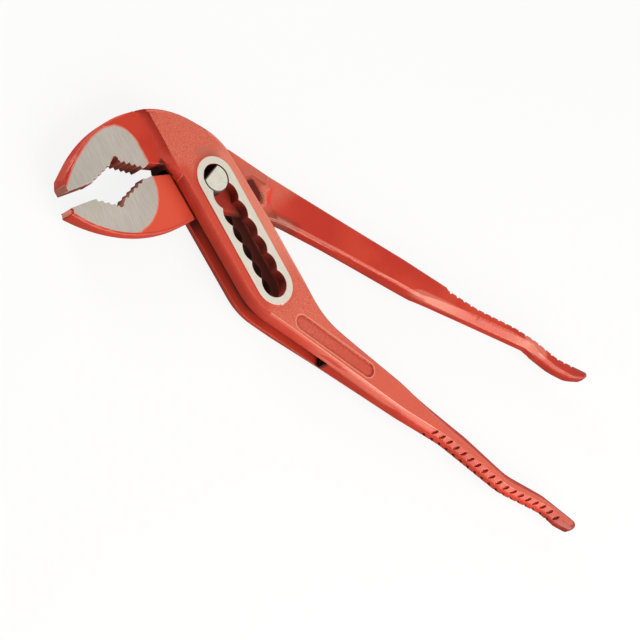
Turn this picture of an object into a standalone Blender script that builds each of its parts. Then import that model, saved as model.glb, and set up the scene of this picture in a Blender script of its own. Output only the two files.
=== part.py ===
"""Water pump pliers with a through joint: two forged levers and a pin in a scalloped slot.

The pliers lie flat on the table.  The pin stands on the world Z axis with its rear end at
height zero, the handles point along +X and the front of the tool looks along +Z.
All dimensions are in millimetres and become metres when a mesh is finished.
"""
import math

import bmesh
import bpy
from mathutils import Matrix, Vector

MM = 0.001
CHORD = 0.02
SMOOTH_BELOW = math.radians(32.0)

# Heights, measured from the middle plane of the tool
RIM_HALF = 6.9
CHEEK_HALF = 6.5
GAP_HALF = 2.6
PLATE_HALF = 2.3
UPPER_JAW_HALF = 3.6
LOWER_JAW_HALF = 3.5
HANDLE_HALF = 3.5

# Joint: a pin with one flat, seated in one of seven notches of the slot
PIN_RADIUS = 5.05
PIN_FLAT = 2.65
PIN_CHAMFER = 0.3
FIT = 0.3
NOTCHES = 7
NOTCH_PITCH = 7.0
SLOT_ANGLE = math.radians(-35.0)
RIM_RADIUS = 8.0
RIM_CHAMFER = 0.5

# Widest opening, where the flat of the pin and the crease of the lower jaw lie along the slot
OPENING = math.radians(72.0)
FLAT_FACING = SLOT_ANGLE + 1.5 * math.pi - OPENING

# Space between the cheeks: round the pin, then straight up where the upper handle swings
GAP_RADIUS = 16.8
GAP_WINDOW = 14.0
GAP_LEFT_END = math.radians(193.0)

# Back of the upper jaw: a quarter of a full oval, from its top to its left end
BACK_CENTRE = Vector((-12.8, -31.0))
BACK_WIDTH = 38.9
BACK_HEIGHT = 46.8
BACK_FULLNESS = 2.08
BACK_STEP = 4.5
BACK_SPLIT = 36.5
BACK_ROUNDED = Vector((-37.0, -30.0))
MOUTH_NOSE = Vector((-49.5, -33.0))
MOUTH_BEHIND = Vector((-32.0, -2.0))

# Hollow ramp from the front of the box down to the upper jaw: its foot, width and fading length
RAMP_FOOT = (Vector((-36.4, 7.1)), Vector((-18.3, -5.7)))
RAMP_WIDTH = 3.1
RAMP_FADE = 5.0
RAMP_SLICES = (-30.0, -24.0, -21.0)

# Lower jaw: ends of its underside, and how it grows thicker past the crease
JAW_TIP = Vector((-45.4, -40.4))
JAW_NECK = Vector((5.7, -8.3))
JAW_CREASE = 12.9
JAW_SWELL = 17.2
JAW_SWELL_POWER = 1.4
JAW_SLICES = (0.0, 4.0, 9.0)

# Teeth of the two V-shaped mouths
TOOTH_LEAN = 0.4
GRIP_TOOTH = 0.9
TIP_TOOTH = 0.7
RELIEF_RADIUS = 1.1

# Scoop in the plate before the shoulder of the upper handle
POCKET_FLOOR = 1.0
POCKET_WALL = 18.0
POCKET_SLOPE = 1.8

# Forged roundings and the thinning of the handles towards their ends
CHEEK_ROUND = 1.7
HANDLE_ROUND = 1.2
JAW_ROUND = 0.7
BELLY_ROUND = 1.1
SLOTTED_TAPER = [(46.0, 6.5), (104.0, 4.1), (130.0, 3.55), (176.0, 3.3), (189.0, 2.2)]
THROUGH_TAPER = [(30.0, 2.9), (60.0, 3.1), (86.0, 3.5), (150.0, 3.4), (170.0, 3.1), (180.0, 2.1)]

# Corners of the handles, by x: extra width on the front, share of the side taken, and flatness
SLOTTED_LOWER = [(-12.0, 0.2, 0.36, 0.0), (46.0, 0.2, 0.38, 0.0), (66.0, 0.3, 0.4, 0.4),
                 (100.0, 0.3, 0.53, 0.4), (114.0, 0.6, 0.62, 0.3), (180.0, 0.6, 0.66, 0.3),
                 (188.0, 0.0, 0.4, 0.0)]
SLOTTED_UPPER = [(70.0, 0.0, 0.06, 0.0), (100.0, 0.3, 0.3, 0.0), (114.0, 1.6, 0.5, 0.0),
                 (126.0, 2.4, 0.62, 0.0), (156.0, 2.1, 0.63, 0.0), (168.0, 1.7, 0.64, 0.0),
                 (174.0, 1.3, 0.64, 0.0), (188.0, 0.0, 0.4, 0.0)]
THROUGH_LOWER = [(60.0, 0.0, 0.1, 0.0), (95.0, 0.0, 0.1, 0.2), (103.0, 0.9, 0.25, 1.0),
                 (122.0, 1.9, 0.32, 1.0), (144.0, 2.1, 0.32, 1.0), (150.0, 1.7, 0.32, 1.0),
                 (153.2, 0.3, 0.4, 0.4), (177.0, 0.2, 0.5, 0.0)]
THROUGH_UPPER = [(84.0, 0.0, 0.0, 0.0), (106.0, 0.3, 0.3, 0.0), (124.0, 0.7, 0.5, 0.0),
                 (170.0, 0.7, 0.5, 0.0), (177.0, 0.2, 0.4, 0.0)]
CORNER_SLICE = 8.0

# Inlaid panel on the front of the slotted handle
PANEL_START = Vector((50.4, -31.3))
PANEL_END = Vector((82.0, -32.5))
PANEL_RADIUS = 2.8
PANEL_DEPTH = 0.5

# Rows of gouges pressed into the outer edges of the grips: first x, last x, count, place inside the
# edge, share of the half thickness, direction, radius and half length
LOWER_FRONT_ROW = (117.7, 179.7, 18, 1.5, 0.7, (1.3, 1, 1), 0.75, 1.6)
LOWER_EDGE_ROW = (115.5, 177.5, 18, 0.12, -0.2, (-0.42, -0.5, 0.76), 0.8, 2.8)
UPPER_EDGE_ROW = (109.0, 170.5, 19, 0.1, 0.4, (-0.42, -0.5, 0.76), 0.7, 3.4)
GOUGE_SIDES = 8
GOUGE_RINGS = 5

PAINT = (0.56, 0.045, 0.028, 1.0)
PAINT_ROUGHNESS = 0.42
STEEL = (0.70, 0.69, 0.63, 1.0)
STEEL_ROUGHNESS = 0.35


def arc(centre, radius, first, last):
    """Points on a circle from one angle to another, close enough to look round."""
    step = 2 * math.acos(1 - CHORD / radius)
    count = max(2, math.ceil(abs(last - first) / step))
    turns = [first + (last - first) * i / count for i in range(count + 1)]
    return [Vector((centre[0] + radius * math.cos(t), centre[1] + radius * math.sin(t))) for t in turns]


def obround(start, end, radius):
    """Outline of two half circles joined by straight sides."""
    angle = math.atan2(end.y - start.y, end.x - start.x)
    near = arc(start, radius, angle + math.pi / 2, angle + 1.5 * math.pi)
    far = arc(end, radius, angle - math.pi / 2, angle + math.pi / 2)
    return near + far


def rounded(corners):
    """Points of a closed outline whose (x, y, radius) corners are rounded off."""
    points = []
    for i, (x, y, radius) in enumerate(corners):
        here = Vector((x, y))
        if radius == 0:
            points.append(here)
            continue
        back = (Vector(corners[i - 1][:2]) - here).normalized()
        ahead = (Vector(corners[(i + 1) % len(corners)][:2]) - here).normalized()
        half = back.angle(ahead) / 2
        centre = here + (back + ahead).normalized() * radius / math.sin(half)
        start = here + back * radius / math.tan(half) - centre
        turn = math.pi - 2 * half
        if back.cross(ahead) > 0:
            turn = -turn
        first = math.atan2(start.y, start.x)
        points += arc(centre, radius, first, first + turn)
    return points


def plain(points):
    """Corners without rounding, for use inside a list of rounded ones."""
    return [(p[0], p[1], 0) for p in points]


def saw(start, end, count, height):
    """A row of teeth from start to end, standing out on the right-hand side."""
    start = Vector(start)
    step = (Vector(end) - start) / count
    out = Vector((step.y, -step.x)).normalized() * height
    points = []
    for i in range(count):
        points.append(start + step * i)
        points.append(start + step * (i + TOOTH_LEAN) + out)
    return points + [Vector(end)]


def back_curve(first, last):
    """Part of the oval back of the upper jaw, 0 at its top and 90 degrees at its left end."""
    steps = math.ceil((last - first) / BACK_STEP)
    points = []
    for i in range(steps + 1):
        t = math.radians(first + (last - first) * i / steps)
        across = math.sin(t) ** (2 / BACK_FULLNESS)
        up = max(math.cos(t), 0.0) ** (2 / BACK_FULLNESS)
        points.append(BACK_CENTRE + Vector((-BACK_WIDTH * across, BACK_HEIGHT * up)))
    return points


def along_slot(distance):
    """A point on the centre line of the slot."""
    return Vector((distance * math.cos(SLOT_ANGLE), distance * math.sin(SLOT_ANGLE)))


def height_at(law, x):
    """Half thickness at x from a list of (x, half thickness) stations."""
    if x <= law[0][0]:
        return law[0][1]
    for (x0, h0), (x1, h1) in zip(law, law[1:]):
        if x <= x1:
            return h0 + (h1 - h0) * (x - x0) / (x1 - x0)
    return law[-1][1]


def edge_at(points, x, upper):
    """Height of the upper or lower side of an outline at x."""
    crossings = []
    for a, b in zip(points, points[1:] + points[:1]):
        if (a.x - x) * (b.x - x) <= 0 and a.x != b.x:
            crossings.append(a.y + (b.y - a.y) * (x - a.x) / (b.x - a.x))
    return max(crossings) if upper else min(crossings)


def prism(points, low, high):
    """A closed straight-sided body over an outline."""
    bm = bmesh.new()
    floor = bm.faces.new([bm.verts.new((p[0], p[1], low)) for p in points])
    grown = bmesh.ops.extrude_face_region(bm, geom=[floor])["geom"]
    roof = [v for v in grown if isinstance(v, bmesh.types.BMVert)]
    bmesh.ops.translate(bm, verts=roof, vec=(0, 0, high - low))
    bmesh.ops.recalc_face_normals(bm, faces=bm.faces[:])
    return bm


def soften(bm, size, segments, wanted=lambda a, b: True):
    """Round the front and rear edges of a prism wherever both ends of an edge are wanted."""
    edges = []
    for edge in bm.edges:
        a, b = (v.co for v in edge.verts)
        if abs(a.z - b.z) < size and edge.calc_face_angle() > SMOOTH_BELOW and wanted(a, b):
            edges.append(edge)
    bmesh.ops.bevel(bm, geom=edges, offset=size, offset_type="OFFSET", segments=segments,
                    profile=0.5, affect="EDGES", clamp_overlap=False, material=-1)


def slice_at(bm, point, normal):
    """Add a ring of edges where a plane crosses the body."""
    geom = bm.verts[:] + bm.edges[:] + bm.faces[:]
    bmesh.ops.bisect_plane(bm, geom=geom, dist=1e-5, plane_co=point, plane_no=normal)


def thin(bm, law):
    """Scale the thickness of a body so that it follows a list of stations along X."""
    for x, _ in law:
        slice_at(bm, (x, 0, 0), (1, 0, 0))
    full = max(v.co.z for v in bm.verts)
    for v in bm.verts:
        v.co.z *= height_at(law, v.co.x) / full


def values_at(law, x):
    """Interpolate a list of stations, each an x and three values."""
    return [height_at([(station[0], station[i]) for station in law], x) for i in (1, 2, 3)]


def fill_corners(bm, outline, taper, rounding, law, upper):
    """Widen, deepen and flatten the rounded corners along one side of a handle, station by station."""
    first, last = law[0][0], law[-1][0]
    full = max(height for _, height in taper)
    slices = math.ceil((last - first) / CORNER_SLICE)
    places = [first + (last - first) * i / slices for i in range(slices + 1)]
    for x in places + [station[0] for station in law]:
        slice_at(bm, (x, 0, 0), (1, 0, 0))
    for v in bm.verts:
        if v.co.x < first:
            continue
        x = min(v.co.x, last)
        middle = (edge_at(outline, x, False) + edge_at(outline, x, True)) / 2
        if (v.co.y > middle) != upper:
            continue
        extra, share, flat = values_at(law, x)
        height = height_at(taper, v.co.x)
        depth = min(max((1 - abs(v.co.z) / height) * full / rounding, 0.0), 1.0)
        turn = math.acos(1 - depth)
        way = turn * 2 / math.pi
        chamfer = (rounding + extra) * (1 - way) - rounding * (1 - math.sin(turn))
        wall = height * (1 - rounding / full) * (1 - share)
        move = extra * (1 - depth) * (1 - flat) + chamfer * flat
        level = abs(v.co.z) * (1 - share * depth)
        if depth < 1:
            level += (height - way * (height - wall) - level) * flat
        v.co.y += move * (-1 if upper else 1)
        v.co.z = math.copysign(level, v.co.z)


def hollow_ramp(bm):
    """Turn the rounded edge above the upper jaw into a hollow ramp that fades out at its foot's end."""
    start, end = RAMP_FOOT
    for x in RAMP_SLICES:
        slice_at(bm, (x, 0, 0), (1, 0, 0))
    along = (end - start).normalized()
    inward = Vector((-along.y, along.x))
    for v in bm.verts:
        reach = along.dot(v.co.xy - start)
        inset = inward.dot(v.co.xy - start)
        drop = CHEEK_HALF - abs(v.co.z)
        limit = 1.02 * CHEEK_ROUND
        if inset > limit or drop > limit or not -1 < reach < (end - start).length:
            continue
        strength = min(((end - start).length - reach) / RAMP_FADE, 1.0)
        hollow = RAMP_WIDTH * (1 - drop / CHEEK_ROUND)
        fall = (CHEEK_HALF - UPPER_JAW_HALF + CHORD) * (1 - inset / CHEEK_ROUND)
        v.co.xy += inward * (hollow - inset) * strength
        v.co.z = math.copysign(CHEEK_HALF - drop - (fall - drop) * strength, v.co.z)


def finish(bm, name):
    """Write the body as an object in metres, standing on the table."""
    for v in bm.verts:
        v.co = Vector((v.co.x, v.co.y, v.co.z + RIM_HALF)) * MM
    mesh = bpy.data.meshes.new(name)
    bm.to_mesh(mesh)
    bm.free()
    body = bpy.data.objects.new(name, mesh)
    bpy.context.scene.collection.objects.link(body)
    return body


def combine(body, operation, bm, name):
    """Join a second body to the first one, or cut it away."""
    tool = finish(bm, name)
    tool.hide_render = True
    tool.hide_viewport = True
    tool.display_type = "WIRE"
    step = body.modifiers.new(name, "BOOLEAN")
    step.operation = operation
    step.solver = "EXACT"
    step.object = tool


def settle(body):
    """Apply the joins and cuts, then shade smooth everything but the real edges."""
    graph = bpy.context.evaluated_depsgraph_get()
    body.data = bpy.data.meshes.new_from_object(body.evaluated_get(graph))
    for step in list(body.modifiers):
        bpy.data.objects.remove(step.object)
    body.modifiers.clear()
    body.data.shade_smooth()
    body.data.set_sharp_from_angle(angle=SMOOTH_BELOW)


def paint(body, name, colour, roughness, metallic):
    """Give the body its own material."""
    material = bpy.data.materials.new(name)
    material.use_nodes = True
    shader = material.node_tree.nodes["Principled BSDF"]
    shader.inputs["Base Color"].default_value = colour
    shader.inputs["Roughness"].default_value = roughness
    shader.inputs["Metallic"].default_value = metallic
    body.data.materials.append(material)


def grip_gouges(points, law, row, upper):
    """A row of short slanted gouges along a grip's outer edge."""
    first, last, count, inset, share, axis, radius, half = row
    turn = Vector((0, 0, 1)).rotation_difference(Vector(axis)).to_matrix().to_4x4()
    cutters = bmesh.new()
    for i in range(count):
        x = first + (last - first) * i / (count - 1)
        y = edge_at(points, x, upper) - inset * (1 if upper else -1)
        place = Matrix.Translation((x, y, share * height_at(law, x))) @ turn
        place = place @ Matrix.Diagonal((radius, radius, half, 1))
        bmesh.ops.create_uvsphere(cutters, u_segments=GOUGE_SIDES, v_segments=GOUGE_RINGS, radius=1,
                                  matrix=place)
    return cutters


def slotted_outline():
    """Box and handle of the slotted lever, at full thickness."""
    lower = [(RAMP_FOOT[1].x, RAMP_FOOT[1].y, 3), (-12.8, -7.3, 3), (30.3, -36.5, 24),
             (103, -39.85, 60), (124, -39.95, 30), (154, -44.05, 30),
             (174, -42.2, 15), (182.0, -43.7, 6), (187.9, -43.1, 2.3)]
    tip = [(191.6, -38.7, 1.8)]
    upper = [(172.4, -35.95, 15), (153.7, -36.85, 25), (131.6, -32.35, 40), (104.9, -29.3, 8), (97, -28.1, 8),
             (59.4, -24.4, 34), (26, -1.6, 60), (-2.8, 16.5, 25)]
    return rounded(lower + tip + upper + plain(back_curve(3, BACK_SPLIT)))


def upper_jaw_outline():
    """Upper jaw, its root reaching into the box."""
    nose = [(-50.5, -33.9, 0.8), (-48.5, -35.3, 0.3), (-42.6, -28.4, 0)]
    tip_row = saw((-42.4, -28.0), (-37.9, -16.2), 5, TIP_TOOTH)
    relief = arc((-36.7, -14.1), RELIEF_RADIUS, math.radians(190), math.radians(-10))
    grip_row = saw((-35.5, -13.5), (-25.2, -10.1), 5, GRIP_TOOTH)
    root = [(-24.5, -7.8, 0.8), (-17.0, -3.9, 0), (-10.0, 3.0, 0), (-20.0, 9.0, 0), (-34.0, 7.0, 0)]
    back = back_curve(BACK_SPLIT + 1, 90)
    return rounded(nose + plain(tip_row + relief + grip_row) + root + plain(back))


def gap_outline():
    """Space between the cheeks, open on both sides of the box and closed towards the handle."""
    facing = OPENING + math.pi / 2
    straight = Vector((math.sin(facing), -math.cos(facing))) * GAP_WINDOW
    left = arc((0, 0), GAP_RADIUS, facing, GAP_LEFT_END)
    rest = [(-22, -12, 0), (-14, -32, 0), (20, -56, 0), (66.5, -56, 0), (66.5, -33, 2), (70, -18, 0),
            (60, 0, 0), (8, 28, 0)]
    return rounded(plain([left[0] + straight] + left) + rest)


def slot_outline():
    """Overlapping round notches: one side of the row, and the same side turned half round."""
    radius = PIN_RADIUS + FIT
    reach = math.asin(NOTCH_PITCH / 2 / radius)
    side = SLOT_ANGLE - math.pi / 2
    points = []
    for i in range(NOTCHES):
        first = SLOT_ANGLE - math.pi if i == 0 else side - reach
        last = SLOT_ANGLE if i == NOTCHES - 1 else side + reach
        points += arc(along_slot(i * NOTCH_PITCH), radius, first, last)[:-1]
    middle = along_slot((NOTCHES - 1) * NOTCH_PITCH / 2)
    return points + [2 * middle - p for p in points]


def on_jaw_back(a, b):
    """True for the back of the upper jaw, beyond a line from its nose past the mouth."""
    chord = MOUTH_BEHIND - MOUTH_NOSE
    beyond = min(chord.cross(p.xy - MOUTH_NOSE) for p in (a, b)) > 0
    return beyond and max(a.x, b.x) < BACK_ROUNDED.x and min(a.y, b.y) > BACK_ROUNDED.y


def make_slotted_lever():
    """Upper jaw, box with the scalloped slot, and lower handle: one forging."""
    outline = slotted_outline()
    bm = prism(outline, -CHEEK_HALF, CHEEK_HALF)
    soften(bm, CHEEK_ROUND, 3)
    hollow_ramp(bm)
    thin(bm, SLOTTED_TAPER)
    fill_corners(bm, outline, SLOTTED_TAPER, CHEEK_ROUND, SLOTTED_LOWER, False)
    fill_corners(bm, outline, SLOTTED_TAPER, CHEEK_ROUND, SLOTTED_UPPER, True)
    lever = finish(bm, "slotted_lever")
    gouges = grip_gouges(outline, SLOTTED_TAPER, LOWER_FRONT_ROW, False)
    combine(lever, "DIFFERENCE", gouges, "lower_front_gouges")
    gouges = grip_gouges(outline, SLOTTED_TAPER, LOWER_EDGE_ROW, False)
    combine(lever, "DIFFERENCE", gouges, "lower_edge_gouges")
    jaw = prism(upper_jaw_outline(), -UPPER_JAW_HALF, UPPER_JAW_HALF)
    soften(jaw, JAW_ROUND, 1, on_jaw_back)
    combine(lever, "UNION", jaw, "upper_jaw")
    slot_end = along_slot((NOTCHES - 1) * NOTCH_PITCH)
    rim = prism(obround(along_slot(0), slot_end, RIM_RADIUS + RIM_CHAMFER), -RIM_HALF, RIM_HALF)
    soften(rim, RIM_CHAMFER, 1)
    combine(lever, "UNION", rim, "slot_rim")
    combine(lever, "DIFFERENCE", prism(gap_outline(), -GAP_HALF, GAP_HALF), "fork_gap")
    combine(lever, "DIFFERENCE", prism(slot_outline(), -2 * RIM_HALF, 2 * RIM_HALF), "notched_slot")
    panel = prism(obround(PANEL_START, PANEL_END, PANEL_RADIUS), -PANEL_DEPTH, 2 * PANEL_DEPTH)
    for v in panel.verts:
        v.co.z += height_at(SLOTTED_TAPER, v.co.x)
    combine(lever, "DIFFERENCE", panel, "inlaid_panel")
    settle(lever)
    paint(lever, "slotted_lever_red_lacquer", PAINT, PAINT_ROUGHNESS, 0.0)


def plate_outline():
    """Lower jaw, neck round the pin and root of the upper handle: the thin through plate."""
    upper = [(62, 12, 0), (24, 16.0, 0), (3, 16.3, 3), (-12.5, 8.5, 9), (-12.5, -4.2, 5), (-21.8, -11.6, 0.6)]
    grip_row = saw((-22.9, -13.3), (-27.5, -26.3), 5, GRIP_TOOTH)
    relief = arc((-28.4, -27.7), RELIEF_RADIUS, math.radians(40), math.radians(-130))
    tip_row = saw((-29.4, -29.3), (-39.2, -33.0), 4, TIP_TOOTH)
    nose = [(JAW_TIP.x, JAW_TIP.y, 0.3), (-44.5, -42.5, 0.8)]
    lower = [(-18.2, -40.8, 52), (JAW_NECK.x, JAW_NECK.y, 4), (30, 1.6, 40), (66, 5.4, 0)]
    return rounded(upper + plain(grip_row + relief + tip_row) + nose + lower)


def handle_outline():
    """Thick part of the upper handle, from its shoulder to the tip."""
    lower = [(29.5, 2.6, 2), (64, 5.3, 60), (95, 7.45, 60), (148.0, 15.75, 3), (152.5, 15.0, 5),
             (163, 13.9, 28), (171.3, 14.9, 12), (177.2, 17.8, 3.4)]
    upper = [(179.9, 22.3, 1.25), (163.2, 20.0, 20), (150.2, 21.3, 15), (140.2, 21.1, 15), (121, 18.6, 30),
             (107, 18.1, 0), (106, 18.8, 0), (20.5, 16.1, 1.3), (24.3, 6.0, 6)]
    return rounded(lower + upper)


def pocket(side):
    """Scoop in the front or rear of the plate, its wall to the shoulder sloping outwards."""
    corners = [(12.5, 3.0, 2.5), (20.6, 1.5, 1.5), (22.0, 5.5, 1.0), (19.6, 13.0, 1.5), (13.0, 12.8, 2.5)]
    mouth = 2 * HANDLE_HALF
    ends = sorted((side * POCKET_FLOOR, side * mouth))
    bm = prism(rounded(corners), ends[0], ends[1])
    for v in bm.verts:
        if v.co.x > POCKET_WALL and abs(v.co.z) > POCKET_FLOOR + FIT:
            v.co.x += POCKET_SLOPE * (mouth - POCKET_FLOOR)
    bmesh.ops.triangulate(bm, faces=bm.faces[:])
    return bm


def under_jaw(a, b):
    """True for the underside of the lower jaw, below a line from its tip to the neck."""
    chord = JAW_NECK - JAW_TIP
    return max(chord.cross(p.xy - JAW_TIP) for p in (a, b)) < JAW_ROUND


def swell_jaw(bm):
    """Let the lower jaw grow thicker towards its tip, past the part that enters the box."""
    facing = Vector((math.cos(FLAT_FACING), math.sin(FLAT_FACING), 0))
    for distance in JAW_SLICES:
        slice_at(bm, facing * (JAW_CREASE + distance), facing)
    for v in bm.verts:
        past = facing.dot(v.co) - JAW_CREASE
        if past > 0:
            swell = (LOWER_JAW_HALF / PLATE_HALF - 1) * (past / JAW_SWELL) ** JAW_SWELL_POWER
            v.co.z *= 1 + swell


def make_through_lever():
    """Lower jaw, plate through the box and upper handle: one forging."""
    outline = handle_outline()
    bm = prism(outline, -HANDLE_HALF, HANDLE_HALF)
    soften(bm, HANDLE_ROUND, 3)
    thin(bm, THROUGH_TAPER)
    fill_corners(bm, outline, THROUGH_TAPER, HANDLE_ROUND, THROUGH_LOWER, False)
    fill_corners(bm, outline, THROUGH_TAPER, HANDLE_ROUND, THROUGH_UPPER, True)
    lever = finish(bm, "through_lever")
    gouges = grip_gouges(outline, THROUGH_TAPER, UPPER_EDGE_ROW, True)
    combine(lever, "DIFFERENCE", gouges, "upper_edge_gouges")
    plate = prism(plate_outline(), -PLATE_HALF, PLATE_HALF)
    soften(plate, BELLY_ROUND, 2, under_jaw)
    swell_jaw(plate)
    combine(lever, "UNION", plate, "through_plate")
    hole = arc((0, 0), PIN_RADIUS + FIT, 0, 2 * math.pi)[:-1]
    combine(lever, "DIFFERENCE", prism(hole, -2 * PLATE_HALF, 2 * PLATE_HALF), "pin_hole")
    combine(lever, "DIFFERENCE", pocket(1), "front_pocket")
    combine(lever, "DIFFERENCE", pocket(-1), "rear_pocket")
    settle(lever)
    paint(lever, "through_lever_red_lacquer", PAINT, PAINT_ROUGHNESS, 0.0)


def make_pin():
    """Pin with one flat, flush with both rims."""
    half = math.acos(PIN_FLAT / PIN_RADIUS)
    points = arc((0, 0), PIN_RADIUS, FLAT_FACING + half, FLAT_FACING + 2 * math.pi - half)
    bm = prism(points, -RIM_HALF, RIM_HALF)
    soften(bm, PIN_CHAMFER, 1)
    pin = finish(bm, "joint_pin")
    settle(pin)
    paint(pin, "joint_pin_ground_steel", STEEL, STEEL_ROUGHNESS, 1.0)


for old in list(bpy.data.objects):
    bpy.data.objects.remove(old)
make_slotted_lever()
make_through_lever()
make_pin()
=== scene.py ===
# %% [markdown]
# # Dressing a pair of water pump pliers
# The tool is three steel pieces. A slotted lever carries the upper jaw and the box with
# its scalloped slot, a through lever passes inside that box and carries the lower jaw,
# and a flatted pin sits in one notch of the slot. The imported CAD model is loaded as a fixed
# frame in metres, lying on the floor with Z up, so nothing here is moved or resized.
# This lesson makes smooth, merged copies of the CAD solids, then spends its effort on the
# finish: baked lacquer over a rough forging, and steel where a grinder took the lacquer off.

# %% Load the frame
import math

import bmesh
import bpy
from mathutils import Matrix, Vector


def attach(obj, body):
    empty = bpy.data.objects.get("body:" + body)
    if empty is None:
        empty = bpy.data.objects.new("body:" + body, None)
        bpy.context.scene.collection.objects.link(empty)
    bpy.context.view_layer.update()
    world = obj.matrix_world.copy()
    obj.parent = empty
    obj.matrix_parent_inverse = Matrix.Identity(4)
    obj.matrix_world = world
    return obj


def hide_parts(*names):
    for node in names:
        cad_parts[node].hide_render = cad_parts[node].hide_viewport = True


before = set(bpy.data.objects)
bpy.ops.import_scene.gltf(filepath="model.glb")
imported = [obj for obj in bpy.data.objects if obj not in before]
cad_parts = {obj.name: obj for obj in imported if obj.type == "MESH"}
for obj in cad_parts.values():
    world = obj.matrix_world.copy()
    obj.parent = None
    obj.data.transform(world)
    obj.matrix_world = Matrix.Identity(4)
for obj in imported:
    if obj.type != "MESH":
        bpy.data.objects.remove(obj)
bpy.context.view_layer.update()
print("nodes:", ", ".join(sorted(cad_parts)))

# %% [markdown]
# ## The camera
# The photograph looks down on the flat side of the tool from beyond the jaws, and the camera
# is rolled so that the handles run down to the right. A camera can be turned with angles, but
# here its axes are written out: the way back to the camera, and the picture's right. The
# third axis is their cross product, and the aim is the point in the picture's middle.

# %% Camera
AIM = Vector((0.0601, -0.0224, 0.0069))
TO_CAMERA = Vector((-0.417457, -0.497506, 0.760406))
PICTURE_RIGHT = Vector((0.766729, 0.256274, 0.588600))
DISTANCE = 0.8902

camera_data = bpy.data.cameras.new("photo_camera")
camera_data.lens = 140.0
camera_data.sensor_width = 36.0
camera_data.clip_start = 0.01
camera = bpy.data.objects.new("photo_camera", camera_data)
bpy.context.scene.collection.objects.link(camera)
picture_up = TO_CAMERA.cross(PICTURE_RIGHT).normalized()
turn = Matrix((PICTURE_RIGHT, picture_up, TO_CAMERA)).transposed().to_4x4()
camera.matrix_world = Matrix.Translation(AIM + DISTANCE * TO_CAMERA) @ turn
bpy.context.scene.camera = camera
print("camera at", [round(value, 3) for value in camera.matrix_world.translation])

# %% [markdown]
# ## Shader maths as expressions
# A material is a graph, and a long graph is hard to read when every link is a line of code.
# One small class wraps a socket so that `a * b + c` adds the Math nodes by itself, and one
# method makes any other node from its type, its settings and what goes into its sockets.


# %% A socket that takes part in sums
class Socket:
    def __init__(self, tree, output=None):
        self.tree = tree
        self.output = output

    def node(self, kind, settings=None, sockets=None, output=0):
        made = self.tree.nodes.new("ShaderNode" + kind)
        for name, value in (settings or {}).items():
            setattr(made, name, value)
        for name, value in (sockets or {}).items():
            if isinstance(value, Socket):
                self.tree.links.new(value.output, made.inputs[name])
            else:
                made.inputs[name].default_value = value
        return Socket(self.tree, made.outputs[output] if made.outputs else None)

    def math(self, operation, *values):
        return self.node("Math", {"operation": operation}, dict(enumerate(values)))

    def __add__(self, other):
        return self.math("ADD", self, other)

    def __radd__(self, other):
        return self.math("ADD", other, self)

    def __sub__(self, other):
        return self.math("SUBTRACT", self, other)

    def __rsub__(self, other):
        return self.math("SUBTRACT", other, self)

    def __mul__(self, other):
        return self.math("MULTIPLY", self, other)

    def __rmul__(self, other):
        return self.math("MULTIPLY", other, self)


def new_material(name):
    material = bpy.data.materials.new(name)
    material.use_nodes = True
    material.node_tree.nodes.clear()
    return material, Socket(material.node_tree)


print("sockets can be added, subtracted and multiplied")

# %% [markdown]
# ## The floor
# A catalogue picture stands on white. More light would make any floor white, but it would wash
# out the tool as well. Here the Light Path node tells the floor who is looking: to the camera
# most of it glows and the rest is matt paint that keeps the shadow, while a mirror sees mainly
# the matt paint, and the floor throws less light up at the tool than a white sheet would.


# %% Floor
def looks(wire, ray):
    return wire.node("LightPath", None, None, "Is " + ray + " Ray")


FLOOR_HALF = 20.0
FLOOR_GLOW = 0.86
FLOOR_MIRRORED = 0.06
FLOOR_BOUNCE = 0.17
FLOOR_SEEN = (0.88, 0.88, 0.87, 1.0)
floor_mesh = bpy.data.meshes.new("floor")
shape = bmesh.new()
bmesh.ops.create_grid(shape, x_segments=1, y_segments=1, size=FLOOR_HALF)
shape.to_mesh(floor_mesh)
shape.free()
floor = bpy.data.objects.new("floor", floor_mesh)
bpy.context.scene.collection.objects.link(floor)

white_floor, wire = new_material("white_floor")
mirrored = looks(wire, "Glossy") + looks(wire, "Transmission")
glowing = FLOOR_GLOW * looks(wire, "Camera") + FLOOR_MIRRORED * mirrored
paint = {0: looks(wire, "Camera"), 6: (FLOOR_BOUNCE,) * 3 + (1.0,), 7: FLOOR_SEEN}
paint = wire.node("Mix", {"data_type": "RGBA"}, paint, 2)
matt = wire.node("BsdfDiffuse", None, {"Color": paint})
glow = wire.node("Emission", None, {"Strength": 1.0})
both = wire.node("MixShader", None, {0: glowing, 1: matt, 2: glow})
wire.node("OutputMaterial", None, {"Surface": both})
floor_mesh.materials.append(white_floor)
print("floor is", 2 * FLOOR_HALF, "m wide")

# %% [markdown]
# ## The soft boxes
# The tool was lit by one very large soft box beyond the handles, so every facet turned that way
# has a broad pale sheen. A small box close to the floor reaches the handles' undersides and the
# inside of the box joint, and a third lights the back of the jaws. Each one is a square area
# lamp that faces the aim, because only a lamp with a size leaves soft edges on shadow and sheen.

# %% Soft boxes
WARM = (1.0, 0.96, 0.90)
LESS_WARM = (1.0, 0.97, 0.93)


def soft_box(name, direction, distance, width, watts, colour):
    """A square lamp that faces the aim from the given direction."""
    data = bpy.data.lights.new(name, "AREA")
    data.shape = "SQUARE"
    data.size = width
    data.energy = watts
    data.color = colour
    lamp = bpy.data.objects.new(name, data)
    direction = Vector(direction).normalized()
    lamp.location = AIM + distance * direction
    lamp.rotation_euler = direction.to_track_quat("Z", "Y").to_euler()
    bpy.context.scene.collection.objects.link(lamp)
    print(name, width, "m wide,", watts, "W")


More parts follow.
